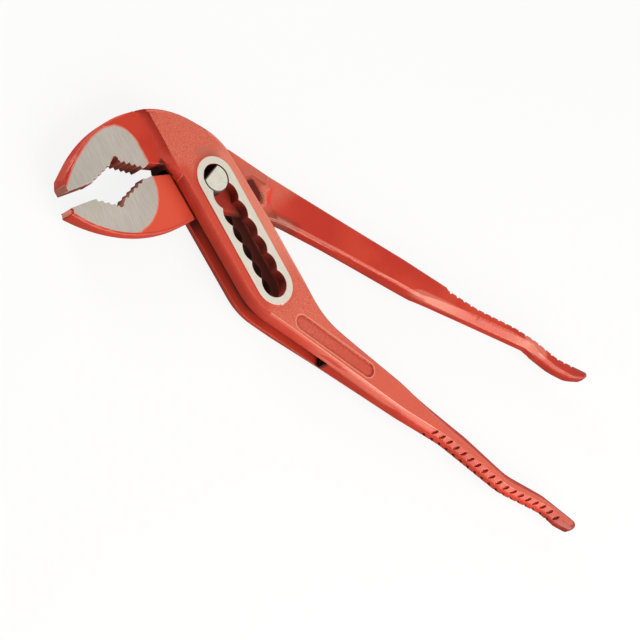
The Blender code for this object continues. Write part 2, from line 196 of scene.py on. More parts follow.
soft_box("front_box", (0.70, -0.42, 0.60), 0.75, 0.80, 7.1, WARM)
soft_box("edge_box", (0.38, -0.86, 0.28), 0.42, 0.28, 0.64, WARM)
soft_box("jaw_box", (-0.84, 0.52, 0.18), 0.90, 0.40, 8.0, LESS_WARM)

# %% [markdown]
# ## The room
# Glossy lacquer shows the room it stands in. The flat faces mirror a dim ceiling and the edges
# turned to the camera mirror the unlit room behind it, so both keep their full red. One even
# world colour would veil them in grey. So the world is white to the camera, an even soft light
# to matt surfaces, and in mirrors a bright horizon that darkens overhead and behind the camera.

# %% Sky
SKY_LIGHT = 0.27
CEILING = 0.30
DARK_ROOM = 0.08
BEHIND_CAMERA = Vector((-0.643, -0.766, 0.0))

world = bpy.data.worlds.new("studio")
bpy.context.scene.world = world
world.use_nodes = True
world.node_tree.nodes.clear()
wire = Socket(world.node_tree)
way = wire.node("TexCoord", None, None, "Generated")
upward = wire.node("SeparateXYZ", None, {0: way}, "Z")
backward = {0: way, 1: BEHIND_CAMERA}
backward = wire.node("VectorMath", {"operation": "DOT_PRODUCT"}, backward, 1)
overhead = {"Value": upward, "From Min": 0.35, "From Max": 0.65}
overhead = wire.node("MapRange", {"interpolation_type": "SMOOTHSTEP"}, overhead)
unlit = {"Value": backward, "From Min": 0.15, "From Max": 0.55}
unlit = wire.node("MapRange", {"interpolation_type": "SMOOTHSTEP"}, unlit)
room = 1.0 - (1.0 - CEILING) * overhead
room = room + unlit * (DARK_ROOM - room)
mirrored = looks(wire, "Glossy") + looks(wire, "Transmission")
strength = SKY_LIGHT + (1.0 - SKY_LIGHT) * looks(wire, "Camera") + (room - SKY_LIGHT) * mirrored
sky = wire.node("Background", None, {"Color": (1.0, 1.0, 1.0, 1.0), "Strength": strength})
wire.node("OutputWorld", None, {"Surface": sky})
bpy.context.scene.view_settings.view_transform = "Standard"
print("sky at", SKY_LIGHT, "and a ceiling at", CEILING)

# %% [markdown]
# ## Merged copies of the forgings
# A imported solid arrives as loose triangles, which shade as flat chips. Each piece is copied
# and its doubled corners are merged. Coplanar triangles join into whole faces, so that the
# Weighted Normal modifier can let the large flat faces stay flat while the small rounded
# strips between them shade as one curve. Edges steeper than a rounding step stay crisp.
# A value on each face corner, 1 where a side strip touches the flat front, fades across the
# strip and later draws the thin pale line along the ridge, which is wear and a painted highlight.

# %% Copy, merge and mark
SAME_CORNER = 2e-6
CRISP_ABOVE = math.radians(32.0)
SAME_PLANE = math.radians(0.25)
SQUARE = 0.93


def forged_copy(node, name, body, marks):
    """A merged copy of one solid, with a face attribute for each named mark."""
    shape = bmesh.new()
    shape.from_mesh(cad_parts[node].data)
    bmesh.ops.remove_doubles(shape, verts=shape.verts, dist=SAME_CORNER)
    bmesh.ops.dissolve_limit(
        shape, angle_limit=SAME_PLANE, verts=shape.verts, edges=shape.edges
    )
    for mark, belongs in marks.items():
        layer = shape.faces.layers.float.new(mark)
        for face in shape.faces:
            face[layer] = float(belongs(face, 1000.0 * face.calc_center_median()))
    top_edge = shape.loops.layers.float.new("top_edge")
    for face in shape.faces:
        for corner in face.loops:
            fronts = [other for other in corner.vert.link_faces if other.normal.z > SQUARE]
            corner[top_edge] = float(bool(fronts) and face.normal.z < SQUARE)
    mesh = bpy.data.meshes.new(name)
    shape.to_mesh(mesh)
    shape.free()
    if "custom_normal" in mesh.attributes:
        mesh.attributes.remove(mesh.attributes["custom_normal"])
    mesh.shade_smooth()
    mesh.set_sharp_from_angle(angle=CRISP_ABOVE)
    mesh.materials.clear()
    piece = bpy.data.objects.new(name, mesh)
    bpy.context.scene.collection.objects.link(piece)
    even = piece.modifiers.new("flat_faces_stay_flat", "WEIGHTED_NORMAL")
    even.keep_sharp = True
    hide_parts(node)
    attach(piece, body)
    print(name, "has", len(mesh.polygons), "faces")
    return piece


# %% [markdown]
# ## Faces the grinder, the oil and the gap mark out
# The levers are painted whole and then ground on their flat sides, so steel shows only on faces
# square to the grinding wheel. The walls of the slot get oil and painted shade, and between the
# two cheeks of the box is a gap where no wheel and no hand can reach. These could be painted on
# by eye, but a face's direction and place, in millimetres, tell which is which at every rebuild.

# %% Marks of the grinder, the oil and the gap
MIDDLE = 6.9
HALF_GAP = 2.7
SLOT_WAY = Vector((0.819152, -0.573576, 0.0))
SLOT_LENGTH = 42.0


def off_slot(point):
    """How far a point lies from the slot's middle line, in plan."""
    along = min(max(point.dot(SLOT_WAY), 0.0), SLOT_LENGTH)
    return (point - along * SLOT_WAY).to_2d().length


def square_to_wheel(face, centre):
    return abs(face.normal.z) > SQUARE


def within_gap(face, centre):
    return all(abs(1000.0 * corner.co.z - MIDDLE) < HALF_GAP for corner in face.verts)


def in_slot(face, centre):
    return abs(face.normal.z) < 0.5 and off_slot(centre) < 7.4


print("the slot is", SLOT_LENGTH, "mm long between its end notches")

# %% [markdown]
# ## Sides with painted shade, painted light or dust
# The ramp and the box's lower bevels turn away from the light; their lacquer is dull and gets a
# little painted shade. The box's outer walls under the lower jaw get a lighter red, which is
# painted light, and the sides of the handle further on are rubbed dusty by hands and get a
# painted sheen. The same test of direction and place serves.


# %% Marks of the sides
def off_ramp(point):
    """How far a point lies behind the foot of the ramp, in plan."""
    return 0.577 * (point.x + 36.4) + 0.816 * (point.y - 7.1)


def shaded_side(face, centre):
    """The ramp and the box's lower bevels, which are turned away from the soft box."""
    turned = face.normal.x + face.normal.y < -0.25 and 0.2 < face.normal.z < 0.985
    here = -38.0 < centre.x < 70.0 and (centre.x > -18.0 or -2.5 < off_ramp(centre) < 3.6)
    return centre.z > MIDDLE and turned and here


def low_wall(face, centre):
    """The box's outer walls on the side of the lower jaw."""
    wall = abs(face.normal.z) < 0.3 and face.normal.x + face.normal.y < -0.3
    return wall and -14.0 < centre.x < 90.0 and centre.z < MIDDLE and off_slot(centre) > 9.0


def dust_and_sheen_side(face, centre):
    """The handle's lower side, rubbed pale by hands and given a painted sheen."""
    wall = abs(face.normal.z) < 0.5 and face.normal.y < -0.45
    return wall and centre.x > 50.0 and not within_gap(face, centre)


print("side marks: shaded_side, low_wall, dust_and_sheen_side")

# %% [markdown]
# ## Noses and teeth
# The jaws' noses are knocked bare in use, and the flanks of the teeth hold brown grime. Both
# are walls, so their faces stand on edge, and each lies in its own corner of the plan.


# %% Marks of the jaws
def upper_nose(face, centre):
    return abs(face.normal.z) < 0.6 and centre.x < -47.0 and centre.y < -33.6


def lower_nose(face, centre):
    return abs(face.normal.z) < 0.6 and centre.x < -43.6 and face.normal.x < -0.6


def upper_flank(face, centre):
    mouth = centre.x > -48.5 + 0.35 * (centre.y + 35.0) and -35.6 < centre.y < -8.0
    return abs(face.normal.z) < 0.6 and mouth and centre.x < -22.0


def lower_flank(face, centre):
    mouth = -44.2 < centre.x < -20.0 and centre.y > max(-38.9, -28.0 + 0.3 * centre.x)
    return abs(face.normal.z) < 0.6 and mouth


print("jaw marks: two noses and two flanks")

# %% [markdown]
# ## Ridges and the thumb facet
# Where a flat front turns into a sloping side, hands polish a pale ridge, which also carries a
# painted highlight, and the strips there get a painted sheen. On the real forging the dies leave
# the ridge there, so it runs along the narrow strips that the CAD model has at those places. The
# through lever's grip also has a lens-shaped facet where the thumb lies.


# %% Marks of the ridges
def lower_crease(face, centre):
    """Narrow strips along the box's upper edge, and where the handle's front ends."""
    box_edge = -8.0 < centre.x < 46.0 and face.normal.y > 0.12 and 0.75 < face.normal.z < 0.97
    ridge = 40.0 < centre.x < 178.0 and -0.70 < face.normal.y < -0.45
    return centre.z > MIDDLE and (box_edge or ridge)


def upper_crease(face, centre):
    """The narrow strip where the through handle's flat front turns into its lower side."""
    return centre.z > MIDDLE and 26.0 < centre.x < 104.0 and -0.46 < face.normal.y < -0.22


def lens(face, centre):
    """The lens-shaped facet along the through lever's grip."""
    return 92.0 < centre.x < 160.0 and -0.8 < face.normal.y < -0.35 and face.normal.z > 0.5


print("ridge marks: lower_crease, upper_crease, lens")

# %% [markdown]
# ## The three pieces
# Each copy takes the place of its CAD node, rides on that node's body when the joints move, and
# gets the marks that its finish will look up by name.

# %% Copies of the solids
slotted = forged_copy(
    "slotted_lever", "slotted_forging", "slotted_half",
    {"ground_face": square_to_wheel, "bare_nose": upper_nose, "tooth_flank": upper_flank,
     "oiled_and_shaded": in_slot, "gap": within_gap, "crease": lower_crease, "shaded": shaded_side,
     "low_wall": low_wall, "dust_and_sheen_side": dust_and_sheen_side},
)
through = forged_copy(
    "through_lever", "through_forging", "through_half",
    {"ground_face": square_to_wheel, "bare_nose": lower_nose, "tooth_flank": lower_flank,
     "crease": upper_crease, "lens": lens},
)
flatted_pin = forged_copy(
    "joint_pin", "flatted_pin", "pin", {"ground_face": square_to_wheel}
)

# %% [markdown]
# ## Places and shares
# Every finish is a mix of colours whose shares depend on the place. The place is the object's
# own coordinates in millimetres, so the finish stays with the piece when a joint moves it.
# `ramp` turns a distance into a share between 0 and 1, `band` is a ramp up and a ramp down, and
# `mark` reads back one of the face attributes.


# %% Ramps, bands and mixes
def ramp(value, low, high):
    """0 below low, 1 above high and smooth between them."""
    sockets = {"Value": value, "From Min": low, "From Max": high}
    return value.node("MapRange", {"interpolation_type": "SMOOTHSTEP"}, sockets)


def band(value, low, high, soft):
    return ramp(value, low - soft, low + soft) * (1.0 - ramp(value, high - soft, high + soft))


def mix(first, second, share):
    return share.node("Mix", {"data_type": "RGBA"}, {0: share, 6: first, 7: second}, 2)


def millimetres(wire):
    place = wire.node("TexCoord", None, None, "Object")
    return wire.node("VectorMath", {"operation": "SCALE"}, {0: place, "Scale": 1000.0})


def part_of(place, axis):
    return place.node("SeparateXYZ", None, {0: place}, axis)


def mark(wire, name):
    return wire.node("Attribute", {"attribute_name": name}, None, "Fac")


print("shares: ramp, band, mark")

# %% [markdown]
# ## Grain and streaks
# Clouded lacquer, forging scale and grinding marks are all noise, read at different scales.
# A streak is noise whose space is turned to the grinding direction and squeezed across it.
# An image of scratched steel would do the same job, but noise needs no file and never repeats.


# %% Noise
def grain(place, scale, detail=2.0, rough=0.5):
    sockets = {"Vector": place, "Scale": scale, "Detail": detail, "Roughness": rough}
    return place.node("TexNoise", None, sockets)


def streaks(place, degrees, along, across):
    turned = {"Vector": place, "Rotation": (0.0, 0.0, math.radians(-degrees))}
    turned = place.node("Mapping", {"vector_type": "POINT"}, turned)
    squeezed = {"Vector": turned, "Scale": (1.0 / along, 1.0 / across, 0.3)}
    squeezed = place.node("Mapping", {"vector_type": "POINT"}, squeezed)
    return grain(squeezed, 1.0, 3.0, 0.65)


print("noise: grain, streaks")

# %% [markdown]
# ## Strokes
# Smudges, scrapes and dust lie along short lines, as if drawn with a soft brush. A stroke is a
# pair of points in plan, and the distance to it is found with dot products: along the line,
# held between its ends, and across it. Adding noise to the distance frays the brush's edge.


# %% Distance to a stroke
def reach(place, way):
    return place.node("VectorMath", {"operation": "DOT_PRODUCT"}, {0: place, 1: way}, 1)


def past(place, start, end):
    """How many millimetres a point lies to the left of a line, in plan."""
    left = Vector((start[1] - end[1], end[0] - start[0], 0.0)).normalized()
    return reach(place, left) - (left.x * start[0] + left.y * start[1])


def off_stroke(place, start, end):
    """How far a point lies from a stroke between two points, in plan."""
    way = Vector((end[0] - start[0], end[1] - start[1], 0.0))
    along = reach(place, way.normalized()) - way.normalized().dot(Vector((*start, 0.0)))
    beyond = along - along.math("MINIMUM", along.math("MAXIMUM", along, 0.0), way.length)
    aside = past(place, start, end)
    return beyond.math("SQRT", beyond * beyond + aside * aside)


def near(place, stroke, core, edge, fray=0.0):
    """1 within the core of a stroke and 0 beyond its edge, both in millimetres."""
    return 1.0 - ramp(off_stroke(place, *stroke) + fray, core, edge)


print("strokes: past, off_stroke, near")

# %% [markdown]
# ## The outline a grinder leaves
# A flat wheel against a domed jaw takes the lacquer off in a rounded patch. Its edge is a
# convex outline, so a point is inside when it is on the inner side of every edge. Each edge is
# one dot product, and a smooth minimum over them rounds the corners the way a wheel would.

# %% Ground patches
UPPER_PATCH = ((-49.6, -34.0), (-50.0, -26.0), (-48.8, -17.0), (-47.2, -11.0), (-44.5, -5.8),
               (-41.2, -2.5), (-37.0, -1.6), (-33.2, -2.3), (-29.2, -4.8), (-25.4, -7.6),
               (-22.5, -11.0))
LOWER_PATCH = ((-21.8, -10.6), (-18.0, -14.0), (-15.9, -18.2), (-15.1, -22.7), (-15.8, -27.6),
               (-18.2, -32.9), (-22.3, -36.7), (-28.0, -39.2), (-34.0, -40.4), (-45.0, -41.4))
CORNER_ROUNDING = 0.6


def inside(place, outline):
    """How many millimetres a point lies within the clockwise outline, in plan."""
    depth = None
    for (x0, y0), (x1, y1) in zip(outline, outline[1:]):
        inward = Vector((y1 - y0, x0 - x1, 0.0)).normalized()
        here = reach(place, inward) - (inward.x * x0 + inward.y * y0)
        depth = here if depth is None else depth.math("SMOOTH_MIN", depth, here, CORNER_ROUNDING)
    return depth


print("patch corners:", len(UPPER_PATCH), "upper,", len(LOWER_PATCH), "lower")

# %% [markdown]
# ## Colours
# The levers are drop forged, dipped in red lacquer and baked. The lacquer is paler along worn
# edges and dusty over the rough box, and some reds here are painted light and shade: darker
# reds for shade, a lighter red for lit walls, and pale reds and dust for highlights and sheen.
# Each state of it has a name here, followed by the grime, which also stands for painted shade,
# and the two states of ground steel, on the jaws and on the slot's rim.

# %% Colours
DEEP_RED = (0.50, 0.026, 0.011, 1.0)
BAKED_RED = (0.60, 0.046, 0.021, 1.0)
ORANGE_RED = (0.76, 0.092, 0.045, 1.0)
# A bright red painted as a highlight on the shoulder's slope.
SHOULDER_HIGHLIGHT_RED = (0.82, 0.055, 0.030, 1.0)
# A lighter red for the box's low outer walls: painted light.
LIT_WALL_RED = (0.93, 0.080, 0.042, 1.0)
# A dark red for painted shade, also used for specks in the lacquer.
SHADE_AND_SPECK_RED = (0.42, 0.018, 0.007, 1.0)
SHADED_RED = (0.20, 0.012, 0.006, 1.0)
# A near black painted as the shadow in the scoop.
SCOOP_SHADOW_RED = (0.100, 0.005, 0.002, 1.0)
# A pale red for worn edges, also used for painted highlights and sheen.
WORN_AND_HIGHLIGHT_RED = (0.92, 0.36, 0.25, 1.0)
# A dusty red, also used for the painted sheen on the handle's lower side.
DUSTY_AND_SHEEN_RED = (0.68, 0.130, 0.080, 1.0)
# Pale dust, also used for painted highlights on the thumb facet.
DUST_AND_HIGHLIGHT = (0.80, 0.27, 0.19, 1.0)
BROWN_DUST = (0.40, 0.140, 0.090, 1.0)
SLOT_BROWN = (0.105, 0.019, 0.011, 1.0)
# A near black for grime, also used for painted shade in hollows, cracks and gaps.
GRIME_AND_SHADE = (0.030, 0.006, 0.004, 1.0)
FLANK_BROWN = (0.34, 0.080, 0.052, 1.0)
FLANK_PALE = (0.50, 0.200, 0.140, 1.0)
NOSE_PINK = (0.88, 0.34, 0.24, 1.0)
PATCH_DARK = (0.46, 0.42, 0.375, 1.0)
PATCH_PALE = (0.67, 0.62, 0.56, 1.0)
RIM_DARK = (0.70, 0.665, 0.58, 1.0)
RIM_PALE = (0.87, 0.835, 0.73, 1.0)
print("newly baked lacquer is", BAKED_RED[:3])

# %% [markdown]
# ## The slotted lever's sides
# The lacquer is not one red all round. The low walls of the box get a lighter red, which is
# painted light, the bevels turned away from the light, the jaw's back and the handle's tip are
# painted darker as shade, and the handle's lower side is dusty with a painted sheen.
# Each `mix` lays one of these over the last, the way a painter glazes, and a ramp along X lets
# it fade so that no face ends in a hard step.

# %% Sides of the slotted lever
JAW_BACK = ((-50.5, -20.0), (-45.5, -4.5))
NOSE_BACK = ((-52.0, -33.0), (-51.6, -23.0))


def slotted_sides(place, red, cast, flat):
    """The colour of the slotted lever's sides with painted light and shade, and the jaw back's
    share.
    """
    x = part_of(place, "X")
    # The box's low outer walls get a lighter red: painted light.
    red = mix(red, LIT_WALL_RED, mark(place, "low_wall") * (1.0 - ramp(x, 30.0, 52.0)))
    # Painted shade on the bevels that turn away from the light.
    red = mix(red, SHADE_AND_SPECK_RED, 0.25 * mark(place, "shaded") * (1.0 - ramp(x, 24.0, 48.0)))
    # Dust and a painted sheen on the handle's lower side.
    red = mix(red, DUSTY_AND_SHEEN_RED, 0.9 * mark(place, "dust_and_sheen_side") * ramp(x, 52.0, 68.0))
    # Painted shade toward the handle's tip.
    red = mix(red, SHADE_AND_SPECK_RED, ramp(x, 168.0, 182.0))
    red = mix(red, SHADED_RED, 0.7 * ramp(x, 176.0, 188.0))
    back = near(place, JAW_BACK, 1.0, 3.2) * (1.0 - flat)
    # Painted shade on the jaw's back bevel.
    red = mix(red, SHADE_AND_SPECK_RED, 0.8 * back)
    paler_share = near(place, NOSE_BACK, 0.4, 2.2) * (1.0 - flat) * ramp(cast, 0.35, 0.6)
    return mix(red, DUST_AND_HIGHLIGHT, 0.25 * paler_share), back


print("the jaw's back is dull along", JAW_BACK)

# %% [markdown]
# ## Dust over the box
# Every flat face behind the ramp is dusty, and speckled where the forging scale was thickest.
# A thumb has wiped the strip to the left of the slot, dust has settled to the right of it, and
# a painted shadow darkens the lacquer around the slot's upper end.

# %% Dust over the box
RAMP_FOOT = ((-36.4, 7.1), (-18.3, -5.7))
SLOT = ((0.0, 0.0), (34.4, -24.1))
LEFT_OF_SLOT = ((-12.0, -6.0), (33.0, -33.0))
RIGHT_OF_SLOT = ((1.0, 8.6), (37.0, -12.0))


def box_dust_and_shadow(place, red, cast, fine, flat):
    """The slotted lever's colour with the dust of its flat faces and a painted shadow by the
    slot.
    """
    x = part_of(place, "X")
    dusty = ramp(past(place, *RAMP_FOOT), 2.7, 3.3) * flat * (1.0 - mark(place, "gap"))
    scaly = band(x, -40.0, 66.0, 14.0)
    red = mix(red, DUSTY_AND_SHEEN_RED, dusty * (0.72 + 0.20 * scaly))
    red = mix(red, DUST_AND_HIGHLIGHT, dusty * (0.20 + 0.50 * scaly) * ramp(fine, 0.50, 0.72))
    specks = ramp(0.5 * (cast + fine), 0.50, 0.36)
    red = mix(red, SHADE_AND_SPECK_RED, dusty * (0.10 + 0.42 * scaly) * specks)
    wiped = near(place, LEFT_OF_SLOT, 1.5, 5.5) * flat
    red = mix(red, BAKED_RED, 0.8 * wiped)
    settled = near(place, RIGHT_OF_SLOT, 0.5, 7.5) * flat * (1.0 - ramp(x, 26.0, 46.0))
    red = mix(red, DUST_AND_HIGHLIGHT, 0.6 * settled)
    # A painted shadow round the slot's upper end.
    halo = near(place, SLOT, 7.8, 10.6) * flat * (1.0 - ramp(x, -5.0, 2.0))
    return mix(red, SHADE_AND_SPECK_RED, 0.5 * halo)


print("dust begins behind", RAMP_FOOT)

# %% [markdown]
# ## The smudge and the panel
# A brown smudge has dried above the slot's upper end. Further down the handle is a sunk panel,
# painted darker toward its edges as shade in the recess, with a pale line round the edge that is
# wear and a painted highlight. The panel is as wide everywhere as its distance from one stroke,
# so that stroke also places its colours.

# %% Smudge and panel
SMUDGE = ((-9.2, 5.6), (-4.0, 9.2))
PANEL = ((50.4, -31.3), (82.0, -32.5))


def smudge_and_panel(place, red, cast, fine, flat):
    """The slotted lever's colour with the smudge, and the painted shade and highlight of the
    panel.
    """
    smudge = near(place, SMUDGE, 0.0, 3.6, 2.0 * (cast - 0.5)) * flat * ramp(fine, 0.30, 0.60)
    red = mix(red, BROWN_DUST, 0.7 * smudge)
    panel = off_stroke(place, *PANEL)
    front = ramp(part_of(place, "Z"), MIDDLE, 8.0)
    # Painted shade in the sunk panel, darker toward its edges.
    panel_shade = 0.18 + 0.45 * ramp(panel, 1.4, 2.8) + 0.25 * ramp(cast, 0.45, 0.6)
    red = mix(red, SHADE_AND_SPECK_RED, panel_shade * front * (1.0 - ramp(panel, 2.7, 2.9)))
    # The pale line round the panel's edge is wear and a painted highlight.
    return mix(red, WORN_AND_HIGHLIGHT_RED, 0.45 * band(panel, 2.9, 3.4, 0.12) * flat * front)


print("the panel's middle line is", PANEL)

# %% [markdown]
# ## The slotted lever's grime and painted shade
# The slot is darkened with oil and painted shade, and the root of the jaw and both ends of the
# gap between the cheeks are painted black as shadow. This function calls the ones before it in
# order and hands back the colour together with how dull the surface is, because old oil and
# shaded lacquer have no sheen.

# %% Grime and painted shade of the slotted lever
JAW_ROOT = ((-19.4, -5.2), (-15.8, -6.2))


def slotted_dirt_and_shade(place, red, cast, fine, flat):
    """The slotted lever's colour with its painted shade, and how much duller than lacquer it is.
    """
    x, z = part_of(place, "X"), part_of(place, "Z")
    red, back = slotted_sides(place, red, cast, flat)
    red = box_dust_and_shadow(place, red, cast, fine, flat)
    red = smudge_and_panel(place, red, cast, fine, flat)
    # Oil and painted shade down in the slot.
    deep = near(place, SLOT, 8.0, 10.5) * (1.0 - ramp(z, 8.0, 10.0))
    red = mix(red, SLOT_BROWN, 0.9 * deep)
    # The jaw's root and both ends of the gap are painted black as shadow.
    root = near(place, JAW_ROOT, 1.2, 2.4) * (1.0 - ramp(z, 10.3, 11.3))
    gap_ends = (1.0 - ramp(x, 0.0, 8.0)) + band(x, 64.8, 67.4, 0.8)
    black = root.math("MAXIMUM", root, gap_ends * mark(place, "gap"))
    dull = deep.math("MAXIMUM", deep, 0.8 * mark(place, "shaded")) + 0.9 * back
    return mix(red, GRIME_AND_SHADE, 0.92 * black), dull


print("the blackest corner is at", JAW_ROOT)

# %% [markdown]
# ## The through lever's jaw and grip
# This lever has a lighter, more orange jaw and a handle painted darker toward its tip as shade.
# The thumb facet is paler with dust speckle and a painted highlight, most at its two ends. Its
# pointed start runs out onto the flat front, beyond the facet's own faces, so it is drawn as an
# outline the way the ground patches are.

# %% Jaw and grip of the through lever
LENS_TIP = ((90.5, 8.0), (95.5, 10.9), (102.0, 11.9), (110.0, 13.1), (118.0, 14.2))
KNUCKLE = ((147.0, 19.4), (155.0, 17.2))


def jaw_and_grip(place, red, cast, fine, flat):
    """The colour of the through lever's jaw, handle and thumb facet, with painted shade and
    highlights.
    """
    x, z = part_of(place, "X"), part_of(place, "Z")
    jaw = (1.0 - ramp(x, -8.0, 6.0)) * (0.75 + 0.25 * cast)
    red = mix(red, ORANGE_RED, jaw * (0.3 + 0.7 * flat))
    red = mix(red, DEEP_RED, 0.8 * band(x, 34.0, 58.0, 8.0))
    # Painted shade, darker toward the handle's tip.
    red = mix(red, SHADE_AND_SPECK_RED, 0.65 * ramp(x, 156.0, 163.0))
    red = mix(red, SHADED_RED, 0.4 * ramp(x, 165.0, 177.0))
    # Dust speckle and a painted highlight on the thumb facet, strongest toward its end.
    facet = mark(place, "lens") * (1.0 - ramp(x, 154.0, 159.0))
    pale = 0.26 * ramp(0.5 * (cast + fine), 0.44, 0.64) + 0.45 * ramp(x, 134.0, 150.0)
    red = mix(red, DUST_AND_HIGHLIGHT, facet * pale)
    # The facet's pale pointed start and the knuckle below are painted highlights.
    tip = ramp(inside(place, LENS_TIP), -0.3, 0.3) * ramp(z, MIDDLE, 8.5)
    tip = tip * ramp(x, 89.0, 95.0) * (1.0 - ramp(x, 106.0, 122.0)) * (0.6 + 0.4 * fine)
    return mix(red, DUST_AND_HIGHLIGHT, 0.55 * tip + 0.5 * near(place, KNUCKLE, 0.8, 3.0))


print("the facet's tip has", len(LENS_TIP), "corners")

# %% [markdown]
# ## The shoulder beside the box
# Where the handle runs under the box its shoulder is dusty, with a brown crust on the upper
# edge and another along the lower lip, half in the shade of the box. The dust ends along a line
# that noise pushes back and forth, because nobody wipes a tool along a ruler.

# %% Shoulder of the through lever
SHOULDER_END = ((21.5, -4.0), (32.5, 16.0))
CRUST = ((11.0, 12.6), (20.5, 14.6))
LIP = ((26.5, 1.8), (35.0, 2.9))
LIP_SHADE = ((28.0, 2.4), (38.0, 3.6))


def dusty_shoulder(place, red, cast, fine):
    """The through lever's colour with the dust and crust of its shoulder."""
    fading = 3.0 * (cast - 0.5) - past(place, *SHOULDER_END)
    shoulder = (1.0 - ramp(fading, -4.0, 4.0)) * ramp(part_of(place, "X"), -2.0, 3.0)
    red = mix(red, DUSTY_AND_SHEEN_RED, shoulder * (0.65 + 0.35 * fine))
    red = mix(red, DUST_AND_HIGHLIGHT, 0.5 * shoulder * ramp(fine, 0.52, 0.74))
    crust = near(place, CRUST, -1.0, 4.2, 2.0 * (cast - 0.5)) * ramp(fine, 0.32, 0.62)
    red = mix(red, BROWN_DUST, 0.75 * crust)
    red = mix(red, BROWN_DUST, 0.75 * near(place, LIP, 0.0, 2.8, 1.5 * (fine - 0.5)))
    return mix(red, SHADED_RED, 0.45 * near(place, LIP_SHADE, 0.8, 3.2))


print("the shoulder's dust ends along", SHOULDER_END)

# %% [markdown]
# ## The scoop, the shoulder's highlight and what the box hides
# The scoop beside the box is painted near black as its shadow and is glossy, and next to it a
# painted highlight runs along the top of the shoulder's slope. The plate inside the box is seen
# through the slot; it is painted deep red by the pin and near black further on, as oil and
# painted shade. Along the line where the jaw leaves the box, a black line is painted as the
# cheek's shadow, and the jaw is a deeper red near it.

# %% Grime and painted shade of the through lever
SCOOP = ((16.4, 10.2), (22.0, 6.4))
SHOULDER_HIGHLIGHT = ((23.8, 11.6), (24.4, 6.4))
BOX_LINE = ((-12.8, -7.3), (30.3, -36.5))


def through_dirt_and_shade(place, red, cast, fine, flat):
    """The through lever's colour with painted shade and highlights, and how much duller than
    lacquer it is.
    """
    x, z = part_of(place, "X"), part_of(place, "Z")
    red = jaw_and_grip(place, red, cast, fine, flat)
    red = dusty_shoulder(place, red, cast, fine)
    # Painted shadow in the scoop, which is also glossier.
    scoop = near(place, SCOOP, 1.2, 2.6, 1.4 * (cast - 0.5))
    scoop = scoop * (1.0 - ramp(z, 8.3, 8.9)) * ramp(z, 7.0, 7.4)
    red = mix(red, SCOOP_SHADOW_RED, 0.95 * scoop)
    # A painted highlight along the top of the shoulder's slope.
    red = mix(red, SHOULDER_HIGHLIGHT_RED, near(place, SHOULDER_HIGHLIGHT, 0.5, 0.9, 0.8 * (cast - 0.5)))
    # Oil and painted shade on the plate seen through the slot.
    under = near(place, SLOT, 8.0, 9.0) * ramp(x, -3.0, -1.0)
    red = mix(red, mix(SHADE_AND_SPECK_RED, SLOT_BROWN, ramp(x, 10.0, 17.0)), 0.9 * under)
    boxed = past(place, *BOX_LINE) + 0.5 * (fine - 0.5)
    close = ramp(boxed, -8.0, -1.0) * flat * (1.0 - ramp(x, -2.0, 4.0))
    red = mix(red, BAKED_RED, 0.6 * close)
    # A black line painted as the cheek's shadow where the jaw leaves the box.
    seam = ramp(boxed, -0.9, -0.4) * (1.0 - ramp(boxed, 3.0, 5.0))
    return mix(red, GRIME_AND_SHADE, 0.9 * seam), under - 0.8 * scoop


print("the box's line on the lower jaw is", BOX_LINE)

# %% [markdown]
# ## Edges and hollows
# Lacquer wears off edges, and hollows and cracks are darker with grime and painted shade. The
# Bevel node gives the normal of a slightly rounded edge, and where it leaves the true normal
# there is an edge to wear. Ambient Occlusion tells how shut in a point is: in the wide hollows
# of one piece, or in the narrow cracks between two. Painting both by hand would take hours, and
# they follow any change of shape.

# %% Edges and hollows
EDGE_RADIUS = 0.00035
HOLLOW_WIDTH = 0.005
CRACK_WIDTH = 0.0022


def worn_edges(wire, cast):
    """The normal with softened edges, and how worn each edge is."""
    rounded = wire.node("Bevel", {"samples": 6}, {"Radius": EDGE_RADIUS})
    true = wire.node("NewGeometry", None, None, "True Normal")
    bend = wire.node("VectorMath", {"operation": "DOT_PRODUCT"}, {0: rounded, 1: true}, 1)
    return rounded, ramp(1.0 - bend, 0.02, 0.16) * ramp(cast, 0.36, 0.62)


def shut_in(wire, width, only_local):
    """How much of the sky is hidden by what lies within a width in metres."""
    settings = {"samples": 8, "only_local": only_local}
    return 1.0 - wire.node("AmbientOcclusion", settings, {"Distance": width}, 1)


print("edges are softened by", 1000.0 * EDGE_RADIUS, "mm")

# %% [markdown]
# ## Wear and painted shade that both levers share
# Both levers have pale edges and ridges, a feathered margin round the ground patch, brown teeth,
# bare noses, and darkening in hollows, slot walls and cracks that is grime and painted shade. The
# grips are wiped by hands, so past the start of the gouges that darkening is less and the edges
# are paler.

# %% Shared wear and painted shade
GRIP_START = (100.0, 106.0)


